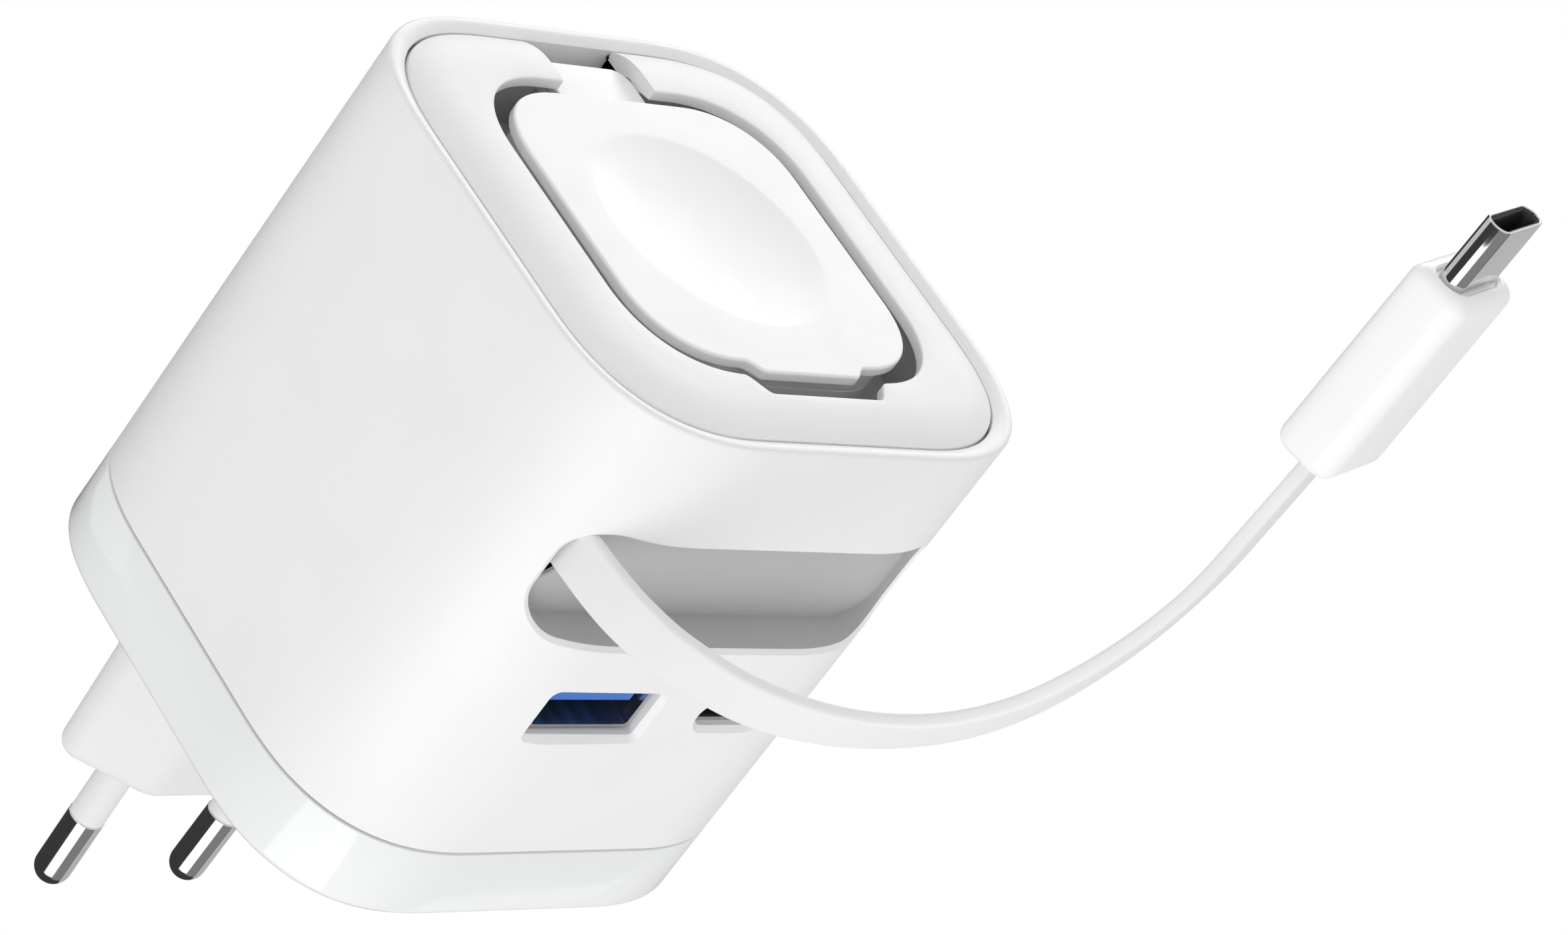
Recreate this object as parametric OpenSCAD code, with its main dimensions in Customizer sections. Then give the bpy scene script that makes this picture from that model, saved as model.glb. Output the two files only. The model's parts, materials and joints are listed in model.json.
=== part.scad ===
// Wall charger with a fold-out watch pad, a pull-out flat lead, one USB-A port and one USB-C port.
//
// Frame, in millimetres: the origin is the middle of the plug insert's end face, between the two pins.
// +Z runs along the pins, into the socket.  -Y is the side with the ports and the lead, so the charger
// hangs from a socket that faces down, with the watch pad underneath.  +X is the side the lead leaves.

/* [Body] */
// Width and height of the square body
body_w = 58; // [56:1:60]
// Length of the body from its front rim to its rear face
body_len = 63.1; // [62:0.1:64]
// Size of the rounded corners
corner_r = 18.5; // [16:0.5:20]
// Shape of the corners: 2 is a circle, larger is squarer
corner_power = 2.57; // [2:0.01:3]
// Thickness of the sleeve's wall
wall = 1.85; // [1.8:0.05:2]
// Length of the rear cover, behind the parting line
cover_len = 8.9; // [8:0.1:10]
// How far the body's middle lies below the pins
body_drop = 12.9; // [12:0.1:13]

/* [Mains plug] */
// Length of the plug insert behind the rear face
insert_len = 22.7; // [21:0.1:24]
// Width of the plug insert
insert_w = 38.6; // [38:0.1:39]
// Height of the plug insert
insert_h = 14.1; // [13.7:0.1:14.5]
// Length of each pin outside the insert
pin_len = 19; // [18.5:0.1:19.5]
// Radius of each pin's bare metal end
pin_r = 2; // [1.97:0.01:2.03]
// Distance between the pins where they leave the insert
pin_pitch = 19; // [18:0.1:19.2]
// How far each pin leans towards the other, in degrees
pin_lean = 1.5; // [1:0.1:2]
// Length of the insulating sleeve outside the insert
sleeve_len = 10; // [9:0.5:10]
// Radius of the insulating sleeve
sleeve_r = 1.84; // [1.8:0.01:1.84]

/* [Watch pad] */
// Width of the square watch pad
pad_w = 35.9; // [35:0.1:36.5]
// Thickness of the watch pad
pad_t = 6.6; // [6.2:0.1:6.8]
// Radius of the round dish that a watch sits in
dish_r = 13; // [12:0.5:14]
// Depth of the dish
dish_depth = 0.9; // [0.6:0.1:1]
// Radius of the hinge pin
hinge_pin_r = 0.75; // [0.7:0.05:0.8]

/* [Lead] */
// Width of the flat lead
lead_w = 5.5; // [5:0.1:5.6]
// Thickness of the flat lead
lead_t = 1.4; // [1.2:0.1:1.5]
// Length of the plug's moulded grip
grip_len = 21; // [20:0.5:22]
// Width of the plug's moulded grip
grip_w = 11.5; // [11:0.1:12]
// Thickness of the plug's moulded grip
grip_t = 6.3; // [6:0.1:6.6]

/* [Ports and pocket] */
// Length of the pocket that the plug parks in
pocket_len = 47.2; // [46:0.1:48]
// Width of the pocket, along the body
pocket_w = 12.8; // [12.5:0.1:13]
// Depth of the pocket
pocket_depth = 4.8; // [4.5:0.1:4.8]
// USB-A port: distance from the body's middle plane
usb_a_x = 8.15; // [8:0.05:9]
// USB-C port: distance from the body's middle plane
usb_c_x = 10.3; // [10:0.1:11]

/* [Hidden] */
// Heights along the pins
z_rear = -insert_len;
z_rim = z_rear - body_len;
z_seam = z_rear - cover_len;
z_plate = z_rim + 0.5;           // outer edge of the front plate
z_crown = z_plate - 1.4;         // top of the front plate's crown, round the pad
z_arm = z_plate;                 // face of the hinge arm
z_pad = z_crown;                 // face of the watch pad, level with the crown
z_recess = z_plate + 5.8;        // floor of the recess under the pad
z_lead = -69.1;                  // middle of the flat lead and of the reel's winding
z_pocket = -66.4;                // middle of the pocket
z_port = -50.7;                  // middle of both ports
z_port_board = z_port + 2.6;     // the USB-A shell stands against it
z_main_board = -42.5;
seam_gap = 0.3;
half_w = body_w / 2;
slip = 0.05;                     // play between two pieces that push together
shank_r = 1.4;                   // the pin where its sleeve covers it

// The front: the recess round the pad, the notches and the hinge
recess_w = 39.6;
recess_r = 11.2;
pad_r = 9.9;
crown_inset = 7.4;               // the crown is flat from here inwards
notch_w = 12.3;                  // hinge notch, open to the rim
finger_w = 16.8;
finger_reach = 22.15;
hinge_y = 23;
z_hinge = z_plate + 1.3;
knuckle_r = 1.3;
hinge_pin_len = 18.4;

// The reel, round its own axis
reel_y = 1.8;
drum_r = 22.9;
hub_r = 12;
winding_r = 21.9;
case_r = 24.1;
axle_r = 2.5;
z_reel_base = -77.9;
z_drum = -72.9;
z_drum_top = -65.3;
z_reel_top = -61.2;
lead_x = winding_r + lead_t / 2 + 0.1;   // the lead runs off the drum along this line
cup_r = 14.4;                    // spring cup under the drum
ratchet_r = 17;
pawl_pos = [-14.2, 14.2];        // pawl pivot, from the reel's axis
reel_screws_at = [[-20.2, -18], [-19.5, 19.8], [19.5, 19.8]];
board_screws_at = [[20.2, 20.2], [-20.2, 20.2], [20.2, -20.2], [-20.2, -20.2]];

// Ports: opening in the sleeve, shell outside
usb_a_open = [13.2, 5.3];
usb_c_open = [9.2, 3.4];
usb_shell_t = 0.3;
port_back = 1.25;                // how far the shells stand behind the outer face

// The free lead: the middle of its section from the pocket to the plug
lead_route = [
  [22.3, -36.9, -69.2], [22.1, -39.6, -69.2], [21.7, -42.7, -69.1], [21.2, -46.1, -69.2],
  [20.4, -49.5, -69.5], [19.6, -52.9, -70.2], [17.5, -59.1, -72], [15, -64.7, -75],
  [12.2, -69.4, -78.8], [9.3, -73.2, -83.5], [6.5, -75.8, -89], [3.9, -77.2, -94.9],
  [1.6, -77.9, -100.9], [-0.5, -77.9, -107], [-2.3, -77.2, -113.3], [-4, -76.5, -121.7]];
plug_turn = -16;                 // the plug's turn round its own axis
lead_sides = 8;
plug_at = lead_route[len(lead_route) - 1];
z_grip_end = plug_at[2] - grip_len;
plug_shell_len = 6.65;

$fn = 48;
eps = 0.01;

// ---------- Outlines ----------

// A quarter of a superellipse, from 0 to 90 degrees
function quarter(r, power, n = 12) = [for (i = [0:n])
  let (a = 90 * i / n) [r * pow(max(cos(a), 0), 2 / power), r * pow(max(sin(a), 0), 2 / power)]];

// A rectangle with such corners, anticlockwise
function soft_rect(w, h, r, power, n = 12) =
  let (q = quarter(r, power, n), cx = w / 2 - r, cy = h / 2 - r, m = len(q) - 1)
  concat(
    [for (p = q) [cx + p[0], cy + p[1]]],
    [for (i = [0:m]) [-cx - q[m - i][0], cy + q[m - i][1]]],
    [for (p = q) [-cx - p[0], -cy - p[1]]],
    [for (i = [0:m]) [cx + q[m - i][0], -cy - q[m - i][1]]]);

// The body's outline, moved inwards by inset
function body_outline(inset = 0) =
  soft_rect(body_w - 2 * inset, body_w - 2 * inset, corner_r - inset, corner_power);

// The plug insert's outline: a flat hexagon with rounded points
function insert_outline(grow = 0) =
  let (hw = insert_w / 2 + grow, hh = insert_h / 2 + grow, side = hw - 0.75, flat = hw - 9.3)
  [[hw, 0.5], [side, 1.25], [flat + 2.5, hh - 0.9], [flat, hh],
   [-flat, hh], [-flat - 2.5, hh - 0.9], [-side, 1.25], [-hw, 0.5],
   [-hw, -0.5], [-side, -1.25], [-flat - 2.5, -hh + 0.9], [-flat, -hh],
   [flat, -hh], [flat + 2.5, -hh + 0.9], [side, -1.25], [hw, -0.5]];

// ---------- Helpers ----------

module in_body() translate([0, -body_drop, 0]) children();
module at_reel() translate([0, reel_y - body_drop, 0]) children();

module slab(points, z0, z1) translate([0, 0, z0]) linear_extrude(z1 - z0) polygon(points);

module body_slab(inset, z0, z1) slab(body_outline(inset), z0, z1);

module tube(r_out, r_in, z0, z1) translate([0, 0, z0]) difference() {
  cylinder(r = r_out, h = z1 - z0);
  translate([0, 0, -1]) cylinder(r = r_in, h = z1 - z0 + 2);
}

module rod(r, z0, z1) translate([0, 0, z0]) cylinder(r = r, h = z1 - z0);

module block(low, high) translate(low) cube(high - low);

// A slot with round ends, w by h, that runs along Y
module pill_y(w, h, y0, y1) rotate([90, 0, 0]) translate([0, 0, -y1]) linear_extrude(y1 - y0)
  union() {
    square([w - h, h], center = true);
    for (s = [-1, 1]) translate([s * (w - h) / 2, 0]) circle(d = h);
  }

// A rounded rectangle, w by h, that runs along Y
module window_y(w, h, r, y0, y1) rotate([90, 0, 0]) translate([0, 0, -y1])
  linear_extrude(y1 - y0) polygon(soft_rect(w, h, r, 2, 6));

// Closed solid through rings of points that all have the same number of points
module loft(rings) {
  n = len(rings[0]);
  last = len(rings) - 1;
  polyhedron(
    points = [for (ring = rings) for (p = ring) p],
    faces = concat(
      [[for (i = [0:n - 1]) i]],
      [[for (i = [0:n - 1]) last * n + n - 1 - i]],
      [for (k = [0:last - 1]) for (i = [0:n - 1]) let (j = (i + 1) % n)
        [k * n + i, (k + 1) * n + i, (k + 1) * n + j]],
      [for (k = [0:last - 1]) for (i = [0:n - 1]) let (j = (i + 1) % n)
        [k * n + i, (k + 1) * n + j, k * n + j]]));
}

function at_z(points, z) = [for (p = points) [p[0], p[1], z]];

function unit(v) = v / norm(v);

// ---------- Housing ----------

module pocket_cut(margin, y0, y1) translate([0, 0, z_pocket])
  window_y(pocket_len + 2 * margin, pocket_w + 2 * margin, 4.5 + margin, y0, y1);

// Hole that the lead passes through at the pocket's +X end
module lead_hole(y0, y1) translate([lead_x - 0.1, 0, z_lead])
  window_y(lead_t + 0.5, lead_w + 0.5, 0.9, y0, y1);

module screw_boss(x, y) {
  rod_r = 2.4;
  translate([x, y, 0]) difference() {
    union() {
      rod(rod_r, -58, z_main_board);
      rotate([0, 0, atan2(y, x)]) block([0, -0.8, -58], [4.5, 0.8, z_main_board - 1]);
    }
    rod(0.8, z_main_board - 8, z_main_board + 1);
  }
}

module main_sleeve() color("white") in_body() difference() {
  union() {
    difference() {
      body_slab(0, z_rim, z_seam - seam_gap / 2);
      body_slab(1, z_rim - 1, z_plate);
      body_slab(wall, z_plate - eps, z_seam);
    }
    intersection() {
      body_slab(wall - 0.5, -90, z_seam - 4);
      union() {
        for (p = board_screws_at) screw_boss(p[0], p[1]);
        difference() {
          body_slab(wall - 0.5, -60.2, -59);
          body_slab(4.4, -61, -58);
          block([-30, -30, -62], [30, -17, -57]);
        }
      }
    }
  }
  pocket_cut(0, -30, -half_w + pocket_depth);
  lead_hole(-30, -20);
  translate([usb_a_x, 0, z_port + 0.2]) window_y(usb_a_open[0] + 0.85, usb_a_open[1] + 0.4, 0.6, -30, -25);
  translate([-usb_c_x, 0, z_port]) pill_y(usb_c_open[0], usb_c_open[1], -30, -25);
}

// Everything that the pad needs cut out of the front plate
module pad_recess(grow, z_floor) {
  slab(soft_rect(recess_w + 2 * grow, recess_w + 2 * grow, recess_r + grow, 2.3), -90, z_floor);
  block([-finger_w / 2 - grow, -finger_reach - grow, -90], [finger_w / 2 + grow, 0, z_floor]);
}

module front_plate() color("white") in_body() {
  edge = 2;
  rings = [for (step = [[0, z_plate + 2.4], [0, z_plate], [1.2, z_plate - 0.5],
      [3, z_plate - 0.95], [5, z_crown + 0.1], [crown_inset, z_crown]])
    at_z(body_outline(edge + step[0]), step[1])];
  difference() {
    union() {
      loft([for (i = [0:len(rings) - 1]) rings[len(rings) - 1 - i]]);
      intersection() {
        body_slab(edge, z_plate, -70);
        union() {
          difference() {
            pad_recess(1.2, z_recess + 1.2);
            slab(body_outline(-5), -95, z_plate + 1);
          }
          block([-notch_w / 2 - 1.2, 15, z_plate + 1], [notch_w / 2 + 1.2, 30, z_plate + 5.6]);
        }
      }
      difference() {
        body_slab(edge, z_plate + 1, z_plate + 5.5);
        body_slab(edge + 1.2, z_plate, z_plate + 6);
      }
    }
    pad_recess(0, z_recess);
    block([-notch_w / 2, 15, -90], [notch_w / 2, 30, z_plate + 4.4]);
    translate([0, hinge_y, z_hinge]) rotate([0, 90, 0])
      cylinder(r = hinge_pin_r, h = hinge_pin_len, center = true);
  }
}

module rear_cover() color("gainsboro") in_body() difference() {
  union() {
    body_slab(0, z_seam + seam_gap / 2, z_rear);
    body_slab(wall + slip, z_seam - 3.4, z_seam + 1);
  }
  body_slab(wall + 1.1, z_seam - 4, z_rear - 2.2);
  translate([0, body_drop, 0]) slab(insert_outline(slip), -30, z_rear + 1);
}

// ---------- Mains plug ----------

module lean(side) translate([side * pin_pitch / 2, 0, 0]) rotate([0, -side * pin_lean, 0]) children();

module plug_insert() color("white") difference() {
  union() {
    slab(insert_outline(), z_rear - 3.8, 0);
    slab(insert_outline(1.4), z_rear - 3.8, z_rear - 2.2 - slip);
  }
  for (side = [-1, 1]) lean(side) {
    rod(shank_r, -30, -3.9);
    rod(sleeve_r, -4, 2);
    rod(sleeve_r + 0.4, -0.5, 2);
  }
}

module pin(side) color("silver") lean(side) {
  rod(shank_r, -28, sleeve_len);
  rod(pin_r, sleeve_len, pin_len - pin_r);
  translate([0, 0, pin_len - pin_r]) sphere(r = pin_r);
}

module pin_sleeve(side) color("whitesmoke") lean(side)
  tube(sleeve_r, shank_r, -4, sleeve_len);

// Spring strips from the pins' tails to the main board
module mains_contacts() color("gold") for (side = [-1, 1]) translate([side * 10.2, 0, 0]) {
  block([-1.6, -2.2, -28.6], [1.6, 2.2, -28.1]);
  block([-1.6, 1.7, z_main_board + 1.2], [1.6, 2.2, -28.6]);
}

// ---------- Cable pocket ----------

module cable_pocket() color("lightgray") in_body() difference() {
  intersection() {
    body_slab(wall + slip, -90, -40);
    pocket_cut(1, -30, -half_w + pocket_depth + 1);
  }
  pocket_cut(0, -31, -half_w + pocket_depth);
  lead_hole(-30, -20);
}

module cable_guide() color("lightgray") in_body() difference() {
  intersection() {
    body_slab(wall + 0.15, -90, -40);
    block([20.4, -half_w + pocket_depth + 1, z_lead - 4], [24.5, -20.6, z_lead + 4]);
  }
  lead_hole(-30, -15);
}

// ---------- Watch pad ----------

function pad_outline(inset = 0) = soft_rect(pad_w - 2 * inset, pad_w - 2 * inset, pad_r - inset, 2.3);
z_pad_split = z_pad + 4;
z_pad_back = z_pad + pad_t;

module pad_cover() color("white") in_body() {
  ball = (dish_r * dish_r + dish_depth * dish_depth) / 2 / dish_depth;
  difference() {
    union() {
      slab(pad_outline(), z_pad, z_pad_split);
      block([-7.2, -pad_w / 2 - 1.4, z_pad], [7.2, 0, z_pad + 1.1]);
    }
    slab(pad_outline(1.2), z_pad + 2.2, z_pad_split + 1);
    translate([0, 0, z_pad + dish_depth - ball]) sphere(r = ball, $fn = 96);
    block([-5.95, 10, z_arm - slip], [5.95, 20, z_pad_split + 1]);
  }
}

module pad_base() color("white") in_body() {
  difference() {
    union() {
      slab(pad_outline(0.1), z_pad_split, z_pad_back);
      block([-5.9, 15, z_arm], [5.9, hinge_y, z_arm + 2 * knuckle_r]);
      translate([-5.9, hinge_y, z_hinge]) rotate([0, 90, 0]) cylinder(r = knuckle_r, h = 11.8);
    }
    slab(pad_outline(1.6), -90, z_pad_back - 1.2);
    translate([0, hinge_y, z_hinge]) rotate([0, 90, 0])
      cylinder(r = hinge_pin_r + slip, h = 20, center = true);
  }
}

module pad_coil() color("peru") in_body() tube(11.4, 6.2, z_pad + 2.3, z_pad + 3.2);
module pad_magnet() color("silver") in_body() rod(5, z_pad + 2.3, z_pad + 3.2);
module pad_ferrite() color("dimgray") in_body() rod(12, z_pad + 3.25, z_pad + 3.9);
module pad_board() color("seagreen") in_body()
  block([-10, -8, z_pad + 4.1], [10, 8, z_pad + 4.9]);

module hinge_pin() color("silver") in_body() translate([0, hinge_y, z_hinge]) rotate([0, 90, 0])
  cylinder(r = hinge_pin_r, h = hinge_pin_len, center = true);

// Friction washers in the gap at each end of the knuckle
module hinge_washers() color("silver") in_body() for (side = [-1, 1])
  translate([side * (notch_w / 2 - 0.08), hinge_y, z_hinge]) rotate([0, 90, 0])
    translate([0, 0, -0.06]) tube(1.2, hinge_pin_r, 0, 0.12);

// ---------- Reel ----------

module reel_columns(r, z0, z1) for (p = reel_screws_at) translate([p[0], p[1], 0]) rod(r, z0, z1);

module reel_lugs(z0, z1) for (p = reel_screws_at) translate([0, reel_y, 0]) {
  rotate([0, 0, atan2(p[1] - reel_y, p[0])])
    block([case_r - 2, -1.6, z0], [norm([p[0], p[1] - reel_y]), 1.6, z1]);
}

module reel_base() color("gainsboro") in_body() difference() {
  union() {
    translate([0, reel_y, 0]) rod(case_r, z_reel_base, z_reel_base + 1.3);
    reel_lugs(z_reel_base + 0.1, z_reel_base + 1.2);
    reel_columns(2.2, z_reel_base, z_reel_top - 1);
  }
  reel_columns(0.8, z_reel_top - 9, z_reel_top);
  translate([0, reel_y, 0]) {
    rod(axle_r, z_reel_base - 1, z_reel_base + 2);
    translate([pawl_pos[0], pawl_pos[1], 0]) rod(0.8, z_reel_base - 1, z_reel_base + 2);
  }
}

module reel_cover() color("gainsboro") in_body() difference() {
  union() {
    translate([0, reel_y, 0]) {
      rod(case_r, z_reel_top - 1, z_reel_top);
      tube(case_r, case_r - 0.8, z_reel_base + 1.3, z_reel_top - 1);
    }
    reel_columns(2.2, z_reel_top - 1, z_reel_top);
    reel_lugs(z_reel_top - 0.9, z_reel_top - 0.1);
  }
  reel_columns(0.8, z_reel_top - 9, z_reel_top + 1);
  translate([0, reel_y, 0]) rod(axle_r, z_reel_top - 2, z_reel_top + 1);
  block([19, -24, z_lead - 3.4], [26, reel_y + 4, z_lead + 3.4]);
  difference() {
    reel_columns(2.3, z_reel_base, z_reel_top - 1);
    translate([0, reel_y, 0]) rod(case_r - 0.8, z_reel_base, z_reel_top);
  }
}

module reel_axle() color("silver") at_reel() rod(axle_r, z_reel_base, z_reel_top);

module reel_drum() color("whitesmoke") at_reel() difference() {
  union() {
    rod(drum_r, z_drum, z_drum + 0.8);
    tube(hub_r, hub_r - 1.4, z_drum, z_drum_top);
    rod(drum_r, z_drum_top - 0.8, z_drum_top);
    tube(cup_r, cup_r - 1.2, z_drum - 3.2, z_drum);
    difference() {
      tube(ratchet_r, cup_r - 0.2, z_drum - 2.6, z_drum - 0.8);
      for (turn = [0, 180]) rotate([0, 0, 127.5 + turn])
        block([ratchet_r - 1.6, -1.4, z_drum - 3], [ratchet_r + 1, 1.4, z_drum - 0.5]);
    }
  }
  rod(axle_r + slip, z_drum - 5, z_drum_top + 1);
}

module cable_winding() color("white") at_reel()
  tube(winding_r, hub_r, z_lead - lead_w / 2, z_lead + lead_w / 2);

// The stretch of lead inside, from the winding to the pocket
module cable_run_in() color("white") in_body()
  block([lead_x - lead_t / 2, -half_w + pocket_depth + 0.3, z_lead - lead_w / 2],
        [lead_x + lead_t / 2, reel_y, z_lead + lead_w / 2]);

// Flat spiral spring in the drum's cup
module reel_spring() color("slategray") at_reel() {
  turns = 6;
  steps = 22;
  r0 = axle_r;
  r1 = cup_r - 1.5;
  t = 0.25;
  ribbon = [for (i = [0:turns * steps])
    let (a = 360 * i / steps, r = r0 + (r1 - r0) * i / turns / steps) [r, a]];
  side_a = [for (p = ribbon) p[0] * [cos(p[1]), sin(p[1])]];
  side_b = [for (i = [0:len(ribbon) - 1]) let (p = ribbon[len(ribbon) - 1 - i])
    (p[0] + t) * [cos(p[1]), sin(p[1])]];
  slab(concat(side_a, side_b), z_drum - 2.9, z_drum - 0.3);
}

z_rings = z_reel_top - 1.8;          // copper side of the slip ring board

module slip_ring_board() color("seagreen") at_reel()
  tube(11, axle_r + 0.4, z_rings, z_reel_top - 1);

module slip_rings() color("gold") at_reel() for (r = [4.5, 6.2, 7.9, 9.6])
  tube(r + 0.5, r - 0.5, z_rings - 0.12, z_rings);

module brush_contacts() color("gold") at_reel() for (i = [0:3]) rotate([0, 0, 90 * i])
  translate([4.5 + 1.7 * i, 0, 0]) {
    block([-0.35, -1.6, z_drum_top], [0.35, 0.2, z_drum_top + 0.3]);
    block([-0.35, -0.1, z_drum_top + 0.3], [0.35, 0.2, z_rings - 0.2]);
  }

module ratchet_pawl() color("orange") at_reel() translate([pawl_pos[0], pawl_pos[1], 0])
  difference() {
    union() {
      rod(1.8, z_drum - 2.5, z_drum - 0.9);
      rotate([0, 0, 28]) translate([0, 0, z_drum - 2.5]) linear_extrude(1.6)
        polygon([[0, -1.3], [4.2, -1.2], [4.6, 0.2], [0, 1.4]]);
    }
    rod(0.85, z_drum - 4, z_drum);
  }

module pawl_pin() color("silver") at_reel() translate([pawl_pos[0], pawl_pos[1], 0])
  rod(0.8, z_reel_base, z_drum - 0.4);

module pawl_spring() color("silver") at_reel() translate([pawl_pos[0], pawl_pos[1], 0])
  tube(1.25, 0.95, z_drum - 3.6, z_drum - 2.6);

module reel_screws() color("silver") in_body() for (p = reel_screws_at) translate([p[0], p[1], 0]) {
  rod(0.8, z_reel_top - 7, z_reel_top);
  rod(1.7, z_reel_top, z_reel_top + 0.9);
}

// ---------- Free lead and its plug ----------

// Across the lead's width, at the route's point i: from -Z at the pocket to the plug's width
function lead_across(i) =
  let (last = len(lead_route) - 1, s = i / last, blend = s * s * (3 - 2 * s),
       want = (1 - blend) * [0, 0, -1] + blend * [cos(plug_turn), sin(plug_turn), 0],
       t = lead_along(i))
  unit(want - (want * t) * t);

function lead_along(i) =
  let (last = len(lead_route) - 1)
  i == 0 ? [0, -1, 0] : i == last ? [0, 0, -1] : unit(lead_route[i + 1] - lead_route[i - 1]);

// Half sizes of the ribbon's section: flat sides with rounded edges
function lead_section(k) =
  let (c = cos(360 * (k + 0.5) / lead_sides), s = sin(360 * (k + 0.5) / lead_sides))
  [sign(c) * pow(abs(c), 0.35) * lead_w / 2, sign(s) * pow(abs(s), 0.6) * lead_t / 2];

module usb_lead() color("white") loft([for (i = [0:len(lead_route) - 1])
  let (a = lead_across(i), b = cross(lead_along(i), a))
  [for (k = [0:lead_sides - 1]) let (p = lead_section(k)) lead_route[i] + p[0] * a + p[1] * b]]);

module on_plug() translate([plug_at[0], plug_at[1], 0]) rotate([0, 0, plug_turn]) children();

module plug_grip() color("white") on_plug() difference() {
  slab(soft_rect(grip_w, grip_t, 2, 2, 6), z_grip_end, plug_at[2]);
  slab(soft_rect(8.34, 2.56, 1.27, 2, 8), z_grip_end - 1, z_grip_end + 4);
}

module plug_shell() color("silver") on_plug() difference() {
  slab(soft_rect(8.34, 2.56, 1.27, 2, 8), z_grip_end - plug_shell_len, z_grip_end + 4);
  slab(soft_rect(7.74, 1.96, 0.97, 2, 8), z_grip_end - 7, z_grip_end + 5);
}

module plug_contacts() color("black") on_plug() difference() {
  slab(soft_rect(7.7, 1.92, 0.95, 2, 8), z_grip_end - plug_shell_len + 0.6, z_grip_end + 4);
  slab(soft_rect(6.7, 0.85, 0.4, 2, 8), z_grip_end - 7, z_grip_end - 0.5);
}

// ---------- Ports ----------

y_port = -half_w + port_back;

module port_board() color("seagreen") in_body()
  block([-17.5, -25.6, z_port_board], [17.5, 12, z_port_board + 1]);

module usb_a_shell() color("silver") in_body() translate([usb_a_x, 0, z_port]) difference() {
  window_y(usb_a_open[0] - 0.1, usb_a_open[1] - 0.1, 0.55, y_port, y_port + 14);
  window_y(12.5, 4.6, 0.4, y_port - 1, y_port + 13.6);
}

module usb_a_tongue() color("royalblue") in_body() translate([usb_a_x, 0, z_port]) {
  block([-5.6, y_port + 0.9, -2], [5.6, y_port + 11, -0.1]);
  block([-6.2, y_port + 11, -2.25], [6.2, y_port + 13.5, 2.25]);
}

module usb_a_contacts() color("gold") in_body() translate([usb_a_x, 0, z_port])
  for (x = [-3.5, -1, 1, 3.5]) block([x - 0.5, y_port + 1.6, -0.1], [x + 0.5, y_port + 10.9, 0.1]);

module usb_c_shell() color("silver") in_body() translate([-usb_c_x, 0, z_port]) difference() {
  union() {
    pill_y(8.94, 3.16, y_port, y_port + 8);
    for (x = [-3.4, 2.6], y = [1, 5.5])
      block([x, y_port + y, 1.4], [x + 0.8, y_port + y + 1.2, z_port_board - z_port]);
  }
  pill_y(8.34, 2.56, y_port - 1, y_port + 7.6);
}

module usb_c_tongue() color("black") in_body() translate([-usb_c_x, 0, z_port]) {
  block([-3.3, y_port + 1, -0.35], [3.3, y_port + 6, 0.35]);
  pill_y(8.2, 2.4, y_port + 6, y_port + 7.5);
}

module usb_c_contacts() color("gold") in_body() translate([-usb_c_x, 0, z_port])
  for (side = [-1, 1], i = [-5:5])
    translate([i * 0.5, y_port + 3.6, side * 0.39]) cube([0.26, 4, 0.08], center = true);

// ---------- Electronics ----------

module board_header() color("black") in_body()
  block([-12, 4, z_port_board + 1], [12, 6.5, z_main_board]);

module main_board() color("seagreen") in_body() difference() {
  body_slab(3.4, z_main_board, z_main_board + 1.2);
  for (p = board_screws_at) translate([p[0], p[1], 0]) rod(0.8, z_main_board - 1, z_main_board + 2);
}

z_parts = z_main_board + 1.2;
tall_part = 13;                      // the tallest parts carry the heat spreader
z_spreader = z_parts + tall_part;

module transformer_core() color("dimgray") in_body() translate([-6, -9, z_parts]) {
  block([-10, -7, 0], [10, 7, 2.6]);
  block([-10, -7, 10.4], [10, 7, tall_part]);
  block([-10, -7, 2.6], [-7.4, 7, 10.4]);
  block([7.4, -7, 2.6], [10, 7, 10.4]);
  rod(3.4, 2.6, 10.4);
}

module transformer_winding() color("gold") in_body() translate([-6, -9, z_parts])
  tube(6.9, 3.45, 2.7, 10.3);

module bulk_capacitors() color("midnightblue") in_body() for (y = [-12.6, -1.8])
  translate([12.4, y, 0]) rod(5.1, z_parts, z_spreader);

module output_capacitors() color("darkslateblue") in_body() for (y = [-14, -7.5, -1])
  translate([-20.6, y, 0]) rod(3.1, z_parts, z_parts + 9);

module mains_filter_choke() color("saddlebrown") in_body() translate([-17, 9.4, 0])
  tube(5, 2, z_parts, z_parts + 9);

module filter_capacitor() color("gold") in_body()
  block([-6.5, 3.2, z_parts], [6.5, 9.2, z_parts + 11]);

module fuse() color("sienna") in_body() translate([18.5, 9.5, 0]) rod(3.4, z_parts, z_parts + 5.5);

module bridge_rectifier() color("black") in_body()
  block([-6, 14, z_main_board - 1.6], [6, 20, z_main_board]);

module power_chips() color("black") in_body() {
  block([-12, -8, z_main_board - 1.2], [-5, -1, z_main_board]);
  block([4, -8, z_main_board - 1.2], [9, -3, z_main_board]);
  block([-4, -18, z_main_board - 1.2], [2, -13, z_main_board]);
}

module heat_spreader() color("silver") in_body()
  block([-20, -20, z_spreader], [19, 8, z_spreader + 0.8]);

module insulation_sheet() color("khaki") in_body()
  block([-21, -20.5, z_spreader + 0.8], [20, 7.5, z_spreader + 1.05]);

module board_screws() color("silver") in_body() for (p = board_screws_at)
  translate([p[0], p[1], 0]) {
    rod(0.8, z_main_board - 6, z_parts);
    rod(1.7, z_parts, z_parts + 1);
  }

// ---------- Output ----------

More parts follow.
